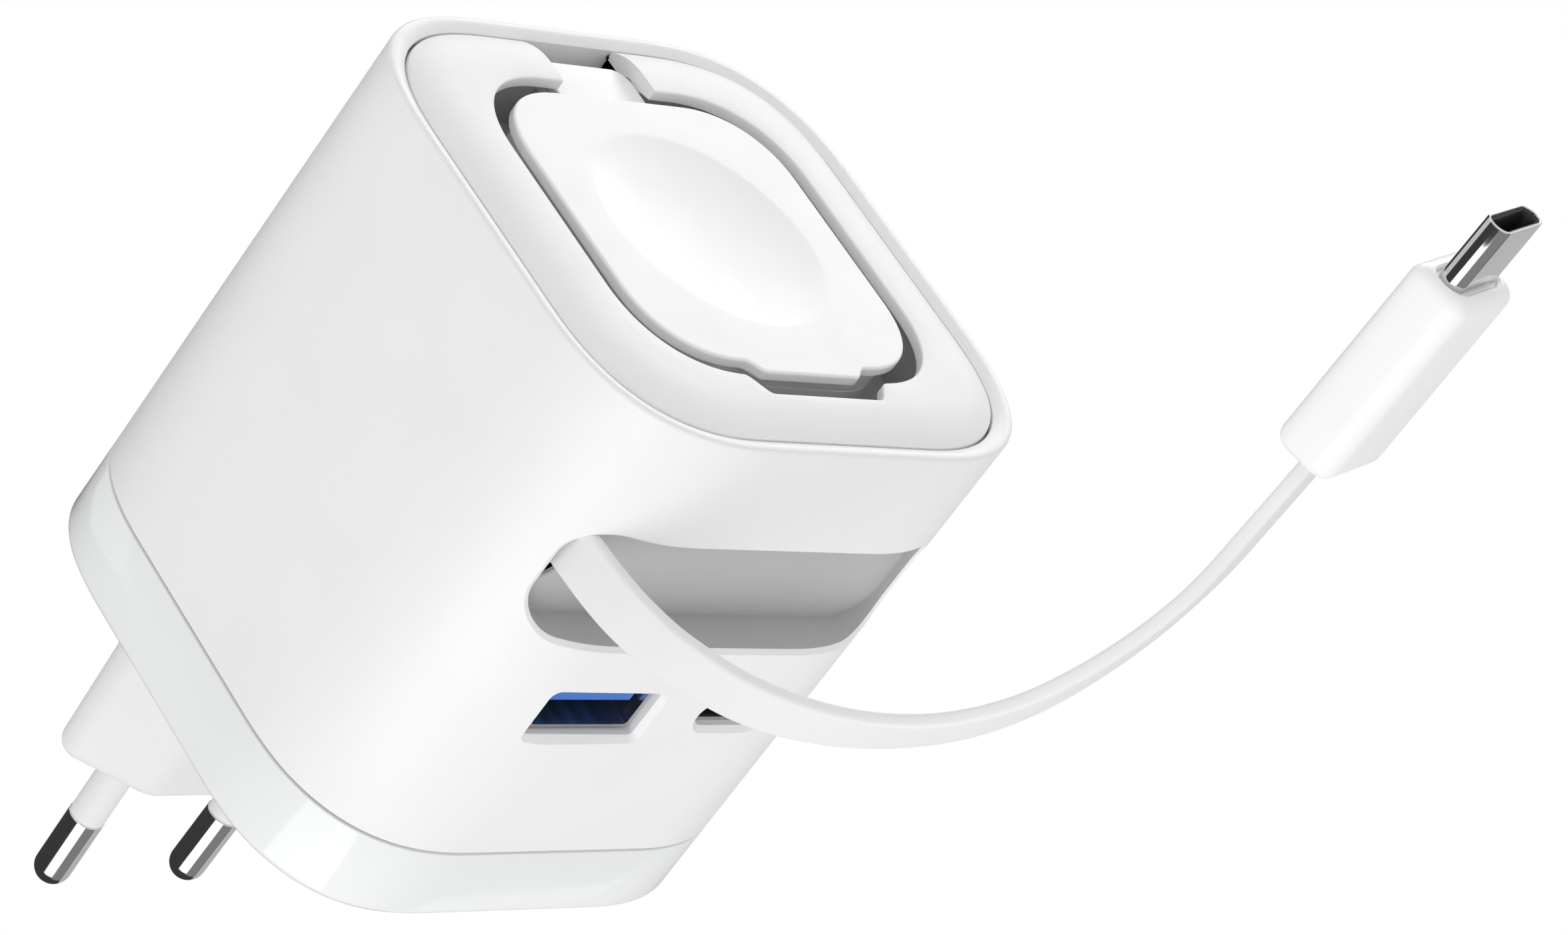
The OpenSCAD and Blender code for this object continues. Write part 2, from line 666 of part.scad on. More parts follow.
main_sleeve();
front_plate();
rear_cover();
plug_insert();
pin(1);  // pin_left
pin(-1);  // pin_right
pin_sleeve(1);  // pin_sleeve_left
pin_sleeve(-1);  // pin_sleeve_right
mains_contacts();
cable_pocket();
cable_guide();
pad_cover();
pad_base();
pad_coil();
pad_ferrite();
pad_magnet();
pad_board();
hinge_pin();
hinge_washers();
reel_base();
reel_cover();
reel_axle();
reel_drum();
cable_winding();
cable_run_in();
reel_spring();
slip_ring_board();
slip_rings();
brush_contacts();
ratchet_pawl();
pawl_pin();
pawl_spring();
reel_screws();
usb_lead();
plug_grip();
plug_shell();
plug_contacts();
port_board();
usb_a_shell();
usb_a_tongue();
usb_a_contacts();
usb_c_shell();
usb_c_tongue();
usb_c_contacts();
board_header();
main_board();
transformer_core();
transformer_winding();
bulk_capacitors();
output_capacitors();
mains_filter_choke();
filter_capacitor();
fuse();
bridge_rectifier();
power_chips();
heat_spreader();
insulation_sheet();
board_screws();
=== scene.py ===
"""Wall charger with a fold-out watch pad, a pull-out flat lead and two USB ports.

Lengths inside the shape functions are in millimetres, in the CAD model's own frame: +Z runs along
the mains pins, -Y is the side with the ports, and +X is the side that the lead leaves.
"""
import json
import math

import bmesh
import bpy
import numpy as np
from mathutils import Matrix, Vector


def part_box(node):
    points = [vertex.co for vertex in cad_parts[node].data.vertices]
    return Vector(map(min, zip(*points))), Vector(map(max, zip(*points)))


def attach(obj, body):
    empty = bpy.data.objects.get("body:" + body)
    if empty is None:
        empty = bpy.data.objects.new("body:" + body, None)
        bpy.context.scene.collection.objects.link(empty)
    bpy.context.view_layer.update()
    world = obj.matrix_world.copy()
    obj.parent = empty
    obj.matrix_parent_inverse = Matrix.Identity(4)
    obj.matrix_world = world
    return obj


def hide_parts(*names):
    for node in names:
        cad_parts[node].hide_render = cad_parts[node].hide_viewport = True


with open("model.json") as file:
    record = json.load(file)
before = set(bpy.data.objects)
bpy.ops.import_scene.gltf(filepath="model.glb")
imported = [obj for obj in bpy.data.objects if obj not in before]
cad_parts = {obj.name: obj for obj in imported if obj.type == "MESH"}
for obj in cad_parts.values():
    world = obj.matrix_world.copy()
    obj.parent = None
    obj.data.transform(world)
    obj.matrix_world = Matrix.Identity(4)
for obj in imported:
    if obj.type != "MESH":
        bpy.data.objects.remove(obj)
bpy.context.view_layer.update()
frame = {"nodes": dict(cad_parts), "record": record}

MM = 0.001
HOUSING = "housing"
PAD = "watch_pad"
# The least distance between neighbouring points of an outline.
LEAST_GAP = 0.02
TINY = 1e-12


def mm_box(node):
    """Lowest and highest corner of a CAD node, in millimetres."""
    low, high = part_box(node)
    return low / MM, high / MM


# ---------- Camera ----------

# Recovered from the body's straight edges in the photograph. Places and the far clip are in metres.
CAMERA_AT = Vector((0.37056, -0.28847, -0.3184))
LOOK_ALONG = Vector((-0.72844, 0.49647, 0.47211))
IMAGE_UP = Vector((0.03244, 0.71333, -0.70008))
FOCAL_LENGTH = 126.34
SENSOR_WIDTH = 36
FAR_CLIP = 50


def facing(direction, up):
    """Rotation that turns an object's -Z to direction, with its Y towards up."""
    back = -direction.normalized()
    right = up.cross(back).normalized()
    return Matrix((right, back.cross(right), back)).transposed()


camera_data = bpy.data.cameras.new("camera")
camera_data.lens = FOCAL_LENGTH
camera_data.sensor_width = SENSOR_WIDTH
camera_data.clip_end = FAR_CLIP
camera = bpy.data.objects.new("camera", camera_data)
camera.matrix_world = Matrix.Translation(CAMERA_AT) @ facing(LOOK_ALONG, IMAGE_UP).to_4x4()
bpy.context.scene.collection.objects.link(camera)
bpy.context.scene.camera = camera


# ---------- Outlines ----------


def soft_rect(width, height, radius, power=2.0, steps=12):
    """A rectangle with superellipse corners, anticlockwise, as an (n, 2) array."""
    angle = np.linspace(0, math.pi / 2, steps + 1)
    qx = radius * np.cos(angle).clip(0) ** (2 / power)
    qy = radius * np.sin(angle).clip(0) ** (2 / power)
    cx, cy = width / 2 - radius, height / 2 - radius
    quarter = np.stack([cx + qx, cy + qy], 1)
    back = quarter[::-1]
    return np.concatenate([quarter, back * (-1, 1), -quarter, back * (1, -1)])


def smooth_step(start, end, steps=9):
    """Points of an S-curve between two points that differ in both coordinates."""
    t = np.linspace(0, 1, steps + 1)
    rise = t * t * (3 - 2 * t)
    return np.stack([start[0] + (end[0] - start[0]) * t, start[1] + (end[1] - start[1]) * rise], 1)


def with_bump(width, radius, half, reach, run, steps=26, power=2.3):
    """A soft square with a bump on its -Y side that reaches to y = -reach.

    half is half the bump's width, between the middles of its flanks, and run is the width of a flank.
    """
    square = soft_rect(width, width, radius, power, steps)
    split = 3 * (steps + 1)
    flat = -width / 2
    left = smooth_step((-half - run / 2, flat), (-half + run / 2, -reach))
    crest = np.array([[x, -reach] for x in np.linspace(-half + run / 2, half - run / 2, 9)[1:-1]])
    right = left[::-1] * (-1, 1)
    kept = (square[:, 1] > 0) | (np.abs(square[:, 0]) > half + run / 2 + LEAST_GAP)
    first, last = square[:split][kept[:split]], square[split:][kept[split:]]
    return np.concatenate([first, left, crest, right, last])


def dense(points, step):
    """The same outline with extra points, so that neighbours are no further apart than step."""
    runs = []
    for start, end in zip(points, np.roll(points, -1, 0)):
        count = max(1, math.ceil(np.linalg.norm(end - start) / step))
        runs.append(start + (end - start) * np.arange(count)[:, None] / count)
    return np.concatenate(runs)


def moved_in(points, inset):
    """A dense outline moved inwards along its own normals."""
    along = np.roll(points, -1, 0) - np.roll(points, 1, 0)
    along /= np.linalg.norm(along, axis=1)[:, None]
    return points + inset * np.stack([-along[:, 1], along[:, 0]], 1)


def at_angles(outline, angles):
    """Where rays from the middle at these angles meet the outline."""
    start = outline
    end = np.roll(outline, -1, 0)
    hits = []
    for angle in angles:
        ray = np.array([math.cos(angle), math.sin(angle)])
        side_a = start[:, 0] * ray[1] - start[:, 1] * ray[0]
        side_b = end[:, 0] * ray[1] - end[:, 1] * ray[0]
        share = side_a / np.where(side_a == side_b, TINY, side_a - side_b)
        points = start + share[:, None] * (end - start)
        forward = (side_a >= 0) & (side_b < 0) & (points @ ray > 0)
        hits.append(points[np.flatnonzero(forward)[0]])
    return np.array(hits)


def rounded_polygon(corners, radii, steps=8):
    """A polygon, anticlockwise, with an arc of the given radius at each corner."""
    corners = [np.array(c, float) for c in corners]
    points = []
    for i, corner in enumerate(corners):
        before = corners[i - 1] - corner
        after = corners[(i + 1) % len(corners)] - corner
        before /= np.linalg.norm(before)
        after /= np.linalg.norm(after)
        half = math.acos(float(before @ after)) / 2
        middle = (before + after) / np.linalg.norm(before + after)
        centre = corner + middle * radii[i] / math.sin(half)
        first = corner + before * radii[i] / math.tan(half) - centre
        last = corner + after * radii[i] / math.tan(half) - centre
        for t in np.linspace(0, 1, steps + 1):
            turn = (1 - t) * first + t * last
            points.append(centre + turn / np.linalg.norm(turn) * radii[i])
    return np.array(points)


# ---------- Meshes ----------


def level(points, z, y=0.0):
    """A flat outline as a ring of 3-D points at height z."""
    return np.column_stack([points[:, 0], points[:, 1] + y, np.full(len(points), z)])


SHARP_PAST = 32
MERGE_WITHIN = 1e-7


def mesh_object(name, points, faces, smooth=SHARP_PAST):
    """A mesh in metres from points in millimetres, with outward normals and edges sharp past an angle."""
    mesh = bpy.data.meshes.new(name)
    mesh.from_pydata([Vector(p) * MM for p in points], [], faces)
    work = bmesh.new()
    work.from_mesh(mesh)
    bmesh.ops.remove_doubles(work, verts=work.verts, dist=MERGE_WITHIN)
    bmesh.ops.recalc_face_normals(work, faces=work.faces)
    work.to_mesh(mesh)
    work.free()
    obj = bpy.data.objects.new(name, mesh)
    bpy.context.scene.collection.objects.link(obj)
    shade(obj, smooth)
    return obj


def shade(obj, smooth=SHARP_PAST):
    obj.data.shade_smooth()
    obj.data.set_sharp_from_angle(angle=math.radians(smooth))


def loft(name, rings, closed=False, smooth=SHARP_PAST):
    """A skin through rings with the same number of points: a closed loop, or capped at both ends."""
    count = len(rings[0])
    faces = []
    for k in range(len(rings) if closed else len(rings) - 1):
        a, b = k * count, (k + 1) % len(rings) * count
        for i in range(count):
            j = (i + 1) % count
            faces.append((a + i, a + j, b + j, b + i))
    if not closed:
        faces.append(tuple(range(count))[::-1])
        faces.append(tuple(range((len(rings) - 1) * count, len(rings) * count)))
    return mesh_object(name, np.concatenate(rings), faces, smooth)


def lathe(name, profile, segments=64):
    """A solid of revolution round Z, from (radius, z) pairs."""
    turn = np.linspace(0, 2 * math.pi, segments, endpoint=False)
    circle = np.stack([np.cos(turn), np.sin(turn)], 1)
    return loft(name, [level(circle * r, z) for r, z in profile])


def box_object(name, low, high):
    """A plain box between two corners."""
    corners = np.array([(low[0], low[1]), (high[0], low[1]), (high[0], high[1]), (low[0], high[1])])
    return loft(name, [level(corners, low[2]), level(corners, high[2])])


def carve(obj, *cutters):
    """Cuts each cutter out of obj for good."""
    for cutter in cutters:
        cut = obj.modifiers.new(cutter.name, "BOOLEAN")
        cut.operation = "DIFFERENCE"
        cut.solver = "EXACT"
        cut.object = cutter
    bpy.context.view_layer.update()
    graph = bpy.context.evaluated_depsgraph_get()
    carved = bpy.data.meshes.new_from_object(obj.evaluated_get(graph))
    obj.modifiers.clear()
    obj.data = carved
    shade(obj)
    for cutter in cutters:
        bpy.data.objects.remove(cutter)
    return obj


def turned(obj, matrix):
    """Moves the mesh itself, so that the object stays at the origin."""
    obj.data.transform(matrix)
    return obj


def piece(obj, body, material_slot, *replaced):
    """Registers a finished piece: its body, its material and the CAD nodes that it stands for."""
    obj.data.materials.clear()
    obj.data.materials.append(material(material_slot))
    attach(obj, body)
    if replaced:
        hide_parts(*replaced)
    return obj


# ---------- Materials ----------

# How often the tint and the roughness vary, per metre, and the part of the noise's range in use.
PATCH_SCALE = 90
SMUDGE_SCALE = 260
NOISE_LOW, NOISE_HIGH = 0.3, 0.7
COAT_ROUGHNESS = 0.04
_materials = {}


def speckled(name, colour, rough, grain, bump, tone=0.02, metal=0.0, coat=0.0, spread=0.05,
             stretch=(1, 1, 1)):
    """A surface with a fine grain: grain is its size in millimetres and bump its height in micrometres.

    tone is the share by which the colour darkens in patches, and spread is the range of the roughness.
    """
    made = bpy.data.materials.new(name)
    made.use_nodes = True
    nodes, links = made.node_tree.nodes, made.node_tree.links
    shader = nodes["Principled BSDF"]
    shader.inputs["Metallic"].default_value = metal
    shader.inputs["Coat Weight"].default_value = coat
    shader.inputs["Coat Roughness"].default_value = COAT_ROUGHNESS
    where = nodes.new("ShaderNodeTexCoord")
    scaled = nodes.new("ShaderNodeMapping")
    scaled.inputs["Scale"].default_value = stretch
    links.new(where.outputs["Object"], scaled.inputs["Vector"])

    def noise(scale, detail):
        made_noise = nodes.new("ShaderNodeTexNoise")
        made_noise.inputs["Scale"].default_value = scale
        made_noise.inputs["Detail"].default_value = detail
        links.new(scaled.outputs["Vector"], made_noise.inputs["Vector"])
        return made_noise.outputs["Fac"]

    def ranged(source, low, high):
        fitted = nodes.new("ShaderNodeMapRange")
        fitted.inputs["From Min"].default_value = NOISE_LOW
        fitted.inputs["From Max"].default_value = NOISE_HIGH
        fitted.inputs["To Min"].default_value = low
        fitted.inputs["To Max"].default_value = high
        links.new(source, fitted.inputs["Value"])
        return fitted.outputs["Result"]

    patches = noise(PATCH_SCALE, 3)
    tint = nodes.new("ShaderNodeMix")
    tint.data_type = "RGBA"
    tint.inputs["A"].default_value = (*[c * (1 - tone) for c in colour], 1)
    tint.inputs["B"].default_value = (*colour, 1)
    links.new(ranged(patches, 0, 1), tint.inputs["Factor"])
    links.new(tint.outputs["Result"], shader.inputs["Base Color"])
    smudges = noise(SMUDGE_SCALE, 2)
    links.new(ranged(smudges, rough - spread / 2, rough + spread / 2), shader.inputs["Roughness"])
    relief = nodes.new("ShaderNodeBump")
    relief.inputs["Distance"].default_value = bump * 1e-6
    relief.inputs["Strength"].default_value = 1.0
    links.new(noise(1 / (grain * MM), 4), relief.inputs["Height"])
    links.new(relief.outputs["Normal"], shader.inputs["Normal"])
    return made


FINISHES = {
    "body_white": dict(colour=(0.865, 0.865, 0.865), rough=0.42, grain=0.5, bump=24),
    "plate_white": dict(colour=(0.89, 0.89, 0.89), rough=0.5, grain=0.5, bump=26),
    "cover_gloss": dict(colour=(0.86, 0.875, 0.87), rough=0.12, grain=3, bump=2, coat=0.35),
    "insert_white": dict(colour=(0.78, 0.78, 0.78), rough=0.55, grain=0.6, bump=60),
    # liner_grey: the pocket liner's own grey, darkened further as painted shade; the recess and hinge bay
    # linings wear it as painted shade.
    "liner_grey": dict(colour=(0.50, 0.50, 0.50), rough=0.4, grain=0.4, bump=8, stretch=(1, 1, 3)),
    "pad_white": dict(colour=(0.89, 0.89, 0.89), rough=0.4, grain=0.6, bump=8),
    "lead_white": dict(colour=(0.82, 0.82, 0.82), rough=0.55, grain=0.35, bump=22),
    "grip_white": dict(colour=(0.93, 0.93, 0.93), rough=0.38, grain=0.8, bump=5),
    "plug_metal": dict(colour=(0.78, 0.78, 0.79), rough=0.08, grain=2, bump=1, metal=1, spread=0.03),
    "pin_metal": dict(colour=(0.74, 0.73, 0.72), rough=0.09, grain=0.4, bump=1.5, metal=1, spread=0.05,
                      stretch=(1, 1, 8)),
    "shell_steel": dict(colour=(0.60, 0.60, 0.62), rough=0.25, grain=0.3, bump=3, metal=1,
                        stretch=(1, 6, 1)),
    "steel": dict(colour=(0.6, 0.6, 0.61), rough=0.3, grain=0.3, bump=3, metal=1),
    "contact_gold": dict(colour=(0.83, 0.64, 0.30), rough=0.22, grain=0.3, bump=2, metal=1),
    "copper": dict(colour=(0.72, 0.40, 0.22), rough=0.3, grain=0.25, bump=20, metal=1,
                   stretch=(1, 1, 5)),
    "board_green": dict(colour=(0.03, 0.22, 0.10), rough=0.3, grain=0.8, bump=10, tone=0.3, coat=0.3),
    "tongue_blue": dict(colour=(0.05, 0.18, 0.62), rough=0.35, grain=0.5, bump=4),
    "black_plastic": dict(colour=(0.015, 0.015, 0.017), rough=0.4, grain=0.4, bump=8),
    "inner_plastic": dict(colour=(0.72, 0.72, 0.70), rough=0.45, grain=0.6, bump=8),
    "ferrite": dict(colour=(0.06, 0.06, 0.065), rough=0.55, grain=0.3, bump=20, tone=0.2),
    "aluminium": dict(colour=(0.75, 0.76, 0.77), rough=0.35, grain=0.4, bump=4, metal=1,
                      stretch=(1, 8, 1)),
    "film": dict(colour=(0.62, 0.36, 0.06), rough=0.2, grain=2, bump=6, coat=0.5),
    "capacitor_sleeve": dict(colour=(0.02, 0.03, 0.10), rough=0.25, grain=1.5, bump=6, coat=0.4),
    "capacitor_box": dict(colour=(0.80, 0.52, 0.04), rough=0.4, grain=0.7, bump=8),
}


def material(name):
    """The material of a slot, made when it is first asked for."""
    if name not in _materials:
        _materials[name] = speckled(name, **FINISHES[name])
    return _materials[name]


# ---------- Driving dimensions, from the frame ----------

sleeve_low, sleeve_high = mm_box("main_sleeve")
cover_low, cover_high = mm_box("rear_cover")
pad_low, pad_high = mm_box("pad_cover")
BODY_W = sleeve_high.x - sleeve_low.x
BODY_Y = (sleeve_low.y + sleeve_high.y) / 2
Z_RIM = sleeve_low.z
Z_REAR = cover_high.z
PLATE_SUNK = 0.5
Z_PLATE = Z_RIM + PLATE_SUNK
CORNER_R = 18.5
CORNER_POWER = 2.57
CORNER_STEPS = 30
WALL = 1.85
SEAM = 0.3


def body_outline(inset=0.0):
    size = BODY_W - 2 * inset
    return soft_rect(size, size, CORNER_R - inset, CORNER_POWER, CORNER_STEPS)


def body_ring(inset, z):
    return level(body_outline(inset), z, BODY_Y)


def rounding(radius, steps=5):
    """(inset, rise) pairs of a quarter round, from the side up to the face."""
    turns = np.linspace(0, math.pi / 2, steps + 1)
    return [(radius * (1 - math.cos(a)), radius * math.sin(a)) for a in turns]


# ---------- The free lead ----------

LEAD_ROUTE = [
    (0.0223, -0.0369, -0.0692), (0.0221, -0.0396, -0.0692), (0.0217, -0.0427, -0.0691),
    (0.0212, -0.0461, -0.0692), (0.0204, -0.0495, -0.0695), (0.0196, -0.0529, -0.0702),
    (0.0175, -0.0591, -0.072), (0.015, -0.0647, -0.075), (0.0122, -0.0694, -0.0788),
    (0.0093, -0.0732, -0.0835), (0.0065, -0.0758, -0.089), (0.0039, -0.0772, -0.0949),
    (0.0016, -0.0779, -0.1009), (-0.0005, -0.0779, -0.107), (-0.0023, -0.0772, -0.1133),
    (-0.004, -0.0765, -0.1217)]
LEAD_WIDTH = 5.5
LEAD_THICK = 1.4
LEAD_EDGE_R = 0.5
LEAD_SHARP_PAST = 50
PLUG_TURN = math.radians(-16)
# How far the ribbon is turned beyond an even twist, in degrees, at five shares of its length.
TURNED_AT = (0, 0.42, 0.62, 0.85, 1)
EXTRA_TURN = (0, -10, -6, 7, 6)


def curve_through(points, per_span=9):
    """A smooth curve through points, as positions and as shares of the way by point number."""
    points = np.array(points, float)
    ends = [2 * points[0] - points[1], *points, 2 * points[-1] - points[-2]]
    line, share = [], []
    for k in range(len(points) - 1):
        p0, p1, p2, p3 = (np.array(ends[k + m]) for m in range(4))
        for t in np.linspace(0, 1, per_span, endpoint=False):
            bend = (2 * p0 - 5 * p1 + 4 * p2 - p3) * t * t + (3 * p1 - p0 - 3 * p2 + p3) * t ** 3
            line.append(0.5 * (2 * p1 + (p2 - p0) * t + bend))
            share.append((k + t) / (len(points) - 1))
    return np.array(line + [points[-1]]), np.array(share + [1.0])


def smoothed(line, rounds=6):
    """The same line with its small wobbles evened out and its ends kept."""
    for _ in range(rounds):
        line[1:-1] = 0.25 * line[:-2] + 0.5 * line[1:-1] + 0.25 * line[2:]
    return line


lead_line, lead_share = curve_through(LEAD_ROUTE)
lead_line = smoothed(lead_line) / MM
lead_along = np.gradient(lead_line, axis=0)
lead_along /= np.linalg.norm(lead_along, axis=1)[:, None]
lead_along[0] = (0, -1, 0)
lead_along[-1] = (0, 0, -1)
plug_across = np.array([math.cos(PLUG_TURN), math.sin(PLUG_TURN), 0])
lead_section = soft_rect(LEAD_WIDTH, LEAD_THICK, LEAD_EDGE_R, 2.2, 5)
lead_rings = []
for centre, along, share in zip(lead_line, lead_along, lead_share):
    mix = share * share * (3 - 2 * share)
    across = (1 - mix) * np.array([0, 0, -1.0]) + mix * plug_across
    across -= along * (across @ along)
    across /= np.linalg.norm(across)
    extra = math.radians(np.interp(share, TURNED_AT, EXTRA_TURN))
    across = across * math.cos(extra) + np.cross(along, across) * math.sin(extra)
    lead_rings.append(centre + lead_section[:, :1] * across + lead_section[:, 1:] * np.cross(along, across))
lead = loft("flat_lead", lead_rings, smooth=LEAD_SHARP_PAST)
piece(lead, HOUSING, "lead_white", "usb_lead")

# ---------- The lead's plug ----------

GRIP_W, GRIP_T = 11.5, 6.3
GRIP_R = 1.9
GRIP_EDGE = 1.35
SHELL_W, SHELL_T = 8.34, 2.56
SHELL_WALL = 0.3
# How far the shell reaches into the grip.
SHELL_ROOT = 3
grip_low, grip_high = mm_box("plug_grip")
z_grip_top, z_grip_end = grip_high.z, grip_low.z
z_mouth = mm_box("plug_shell")[0].z
plug_x, plug_y, _ = LEAD_ROUTE[-1]
on_plug = Matrix.Translation((plug_x, plug_y, 0)) @ Matrix.Rotation(PLUG_TURN, 4, "Z")


def grip_ring(inset, z):
    """A ring of the grip, whose corners stay rounder than a plain inset would leave them."""
    outline = soft_rect(GRIP_W - 2 * inset, GRIP_T - 2 * inset, GRIP_R - inset * 0.7, 2.2, 8)
    return level(outline, z)


def oval(grow, z):
    """A ring of the plug shell's outline, grown by a margin."""
    outline = soft_rect(SHELL_W + 2 * grow, SHELL_T + 2 * grow, SHELL_T / 2 - 0.01 + grow, 2, 12)
    return level(outline, z)


grip_edge = rounding(GRIP_EDGE, 7)
grip_rings = [grip_ring(inset, z_grip_top - GRIP_EDGE + rise) for inset, rise in grip_edge[::-1]]
grip_rings += [grip_ring(0, (z_grip_top + z_grip_end) / 2)]
grip_rings += [grip_ring(inset, z_grip_end + GRIP_EDGE - rise) for inset, rise in grip_edge]
grip = loft("plug_grip_moulding", grip_rings)
# The groove round the shell, where it leaves the grip.
groove = [(0.75, -0.5), (0.62, 0), (0.42, 0.18), (0.36, 0.5)]
carve(grip, loft("shell_hollow", [oval(grow, z_grip_end + rise) for grow, rise in groove]))
piece(turned(grip, on_plug), HOUSING, "grip_white", "plug_grip")

# From the root along the outside, over the rolled mouth, and back along the inside.
mouth = [(0, 0.14), (-0.04, 0.04), (-0.13, 0), (-0.19, 0), (-0.27, 0.05), (-SHELL_WALL, 0.16)]
shell_rings = [oval(0, z_grip_end + SHELL_ROOT)]
shell_rings += [oval(grow, z_mouth + rise) for grow, rise in mouth]
shell_rings += [oval(-SHELL_WALL, z_grip_end + SHELL_ROOT - 0.1)]
shell = turned(loft("plug_shell_drawn", shell_rings), on_plug)
piece(shell, HOUSING, "plug_metal", "plug_shell")

# A black lining that folds in behind the mouth, round a hollow for the other side's tongue.
contact_rings = [
    oval(-0.32, z_grip_end + SHELL_ROOT - 0.2), oval(-0.32, z_mouth + 0.4), oval(-0.5, z_mouth + 0.3),
    oval(-0.75, z_mouth + 0.9), oval(-0.8, z_grip_end - 0.6)]
contacts = turned(loft("plug_contact_block", contact_rings), on_plug)
piece(contacts, HOUSING, "black_plastic", "plug_contacts")

# ---------- Sleeve ----------

z_sleeve_end = sleeve_high.z
# From the joint along the outside to the rim, over it, and back along the inside.
sleeve_profile = [
    (0.16, z_sleeve_end), (0.05, z_sleeve_end - 0.05), (0, z_sleeve_end - 0.17),
    (0, Z_RIM + 0.42), (0.05, Z_RIM + 0.2), (0.17, Z_RIM + 0.06), (0.36, Z_RIM),
    (0.8, Z_RIM), (0.98, Z_RIM + 0.05), (1.75, Z_PLATE - 0.04), (WALL, Z_PLATE + 0.06),
    (WALL, z_sleeve_end)]
sleeve = loft("sleeve", [body_ring(inset, z) for inset, z in sleeve_profile], closed=True)


def front_y(x):
    """Where the body's outer face lies, on the side with the ports."""
    straight = BODY_W / 2 - CORNER_R
    past = np.clip((np.abs(x) - straight) / CORNER_R, 0, 0.999)
    return BODY_Y - straight - CORNER_R * (1 - past ** CORNER_POWER) ** (1 / CORNER_POWER)


def front_ring(outline, depth):
    """A ring on the side with the ports, sunk by depth below the curved outer face."""
    return np.column_stack([outline[:, 0], front_y(outline[:, 0]) + depth, outline[:, 1]])


def deep_ring(outline, y):
    """A flat ring on the side with the ports, at depth y."""
    return np.column_stack([outline[:, 0], np.full(len(outline), y), outline[:, 1]])


POCKET_MIDDLE_Z = -66.3
POCKET_L, POCKET_W, POCKET_R = 47.2, 13.0, 4.5
POCKET_DEPTH = 4.8
POCKET_STEP = 1.55
y_pocket_floor = sleeve_low.y + POCKET_DEPTH
usb_a_low, usb_a_high = mm_box("usb_a_shell")
usb_c_low, usb_c_high = mm_box("usb_c_shell")
USB_A_X = (usb_a_low.x + usb_a_high.x) / 2
USB_C_X = (usb_c_low.x + usb_c_high.x) / 2
PORT_Z = (usb_a_low.z + usb_a_high.z) / 2
USB_A_W, USB_A_H, USB_A_R, USB_A_OFF = 14.05, 5.7, 0.5, 0.2
USB_C_W, USB_C_H, USB_C_R = 9.2, 3.4, 1.69
LIP, USB_A_LIP, USB_C_LIP = 0.45, 0.6, 0.55
# How far a chamfered cutter starts in front of the face that it cuts.
IN_FRONT = 0.3
y_inside = sleeve_low.y + WALL + 1
y_outside = sleeve_low.y - 2


def pocket_outline(margin=0.0):
    shape = soft_rect(POCKET_L + 2 * margin, POCKET_W + 2 * margin, POCKET_R + margin, 2, 14)
    return dense(shape, POCKET_STEP) + (0, POCKET_MIDDLE_Z)


def usb_a_outline(margin=0.0):
    shape = soft_rect(USB_A_W + 2 * margin, USB_A_H + 2 * margin, USB_A_R + margin, 2, 6)
    return shape + (USB_A_X, PORT_Z + USB_A_OFF)


def usb_c_outline(margin=0.0):
    shape = soft_rect(USB_C_W + 2 * margin, USB_C_H + 2 * margin, USB_C_R + margin, 2, 10)
    return shape + (USB_C_X, PORT_Z)


def chamfer(outline, lip, margin=0.0):
    """The rings of a chamfered lip that follows the curved face, from outside it inwards."""
    widest = outline(margin + lip + IN_FRONT)
    return [deep_ring(widest, y_outside), front_ring(widest, -IN_FRONT), front_ring(outline(margin), lip)]


def port_cutter(name, outline, lip):
    return loft(name, chamfer(outline, lip) + [deep_ring(outline(0), y_inside)])


# The pocket is cut wider behind its lip, for the liner.
LINER_ROOM = 0.5
SLACK = 0.04
pocket_cutter = loft("pocket_cutter", chamfer(pocket_outline, LIP, 0.03) + [
    front_ring(pocket_outline(LINER_ROOM), LIP + 0.02),
    deep_ring(pocket_outline(LINER_ROOM), y_pocket_floor + LINER_ROOM + 0.05)])
carve(sleeve, pocket_cutter, port_cutter("usb_a_cutter", usb_a_outline, USB_A_LIP),
      port_cutter("usb_c_cutter", usb_c_outline, USB_C_LIP))
piece(sleeve, HOUSING, "body_white", "main_sleeve")


def painted_shadow_ring(name, outer, inner, z0, z1):
    """A black ring at the bottom of a joint line, between two insets from the body's outline: painted
    shadow in the joint.
    """
    rings = [body_ring(outer, z1), body_ring(outer, z0), body_ring(inner, z0), body_ring(inner, z1)]
    return loft(name, rings, closed=True)


# A black ring in the joint between the sleeve and the rear cover: painted shadow in the gap.
seam_painted_shadow = painted_shadow_ring("seam_painted_shadow", 0.6, WALL - 0.2, z_sleeve_end - 0.1, z_sleeve_end + SEAM + 0.1)
piece(seam_painted_shadow, HOUSING, "black_plastic")

# ---------- Pocket liner ----------

# The liner's grey is partly its own colour and partly painted shade inside the pocket.
liner = loft("pocket_liner", [
    deep_ring(pocket_outline(0), y_pocket_floor), front_ring(pocket_outline(0), LIP + 0.02),
    front_ring(pocket_outline(LINER_ROOM - SLACK), LIP + SLACK),
    deep_ring(pocket_outline(LINER_ROOM - SLACK), y_pocket_floor + LINER_ROOM)])
HOLE_W, HOLE_H, HOLE_R = 4.2, 7.8, 1.6
run_low, run_high = mm_box("cable_run_in")
hole_x = (run_low.x + run_high.x) / 2 + 0.2
hole_z = (run_low.z + run_high.z) / 2 + 0.7


def lead_hole(grow, depth):
    """A ring of the hole for the lead, at a depth below the pocket's floor."""
    outline = soft_rect(HOLE_W + 2 * grow, HOLE_H + 2 * grow, HOLE_R + grow, 2, 6)
    return deep_ring(outline + (hole_x, hole_z), y_pocket_floor + depth)


carve(liner, loft("lead_hole", [lead_hole(0.5, -0.2), lead_hole(0.1, 0.15), lead_hole(0, 1)]))
piece(liner, HOUSING, "liner_grey", "cable_pocket")

# ---------- Front plate ----------

PLATE_EDGE = 2.08
PLATE_DEPTH = 2.4
OUTLINE_STEP = 1.2
RECESS_W, RECESS_R = 39.6, 11.2
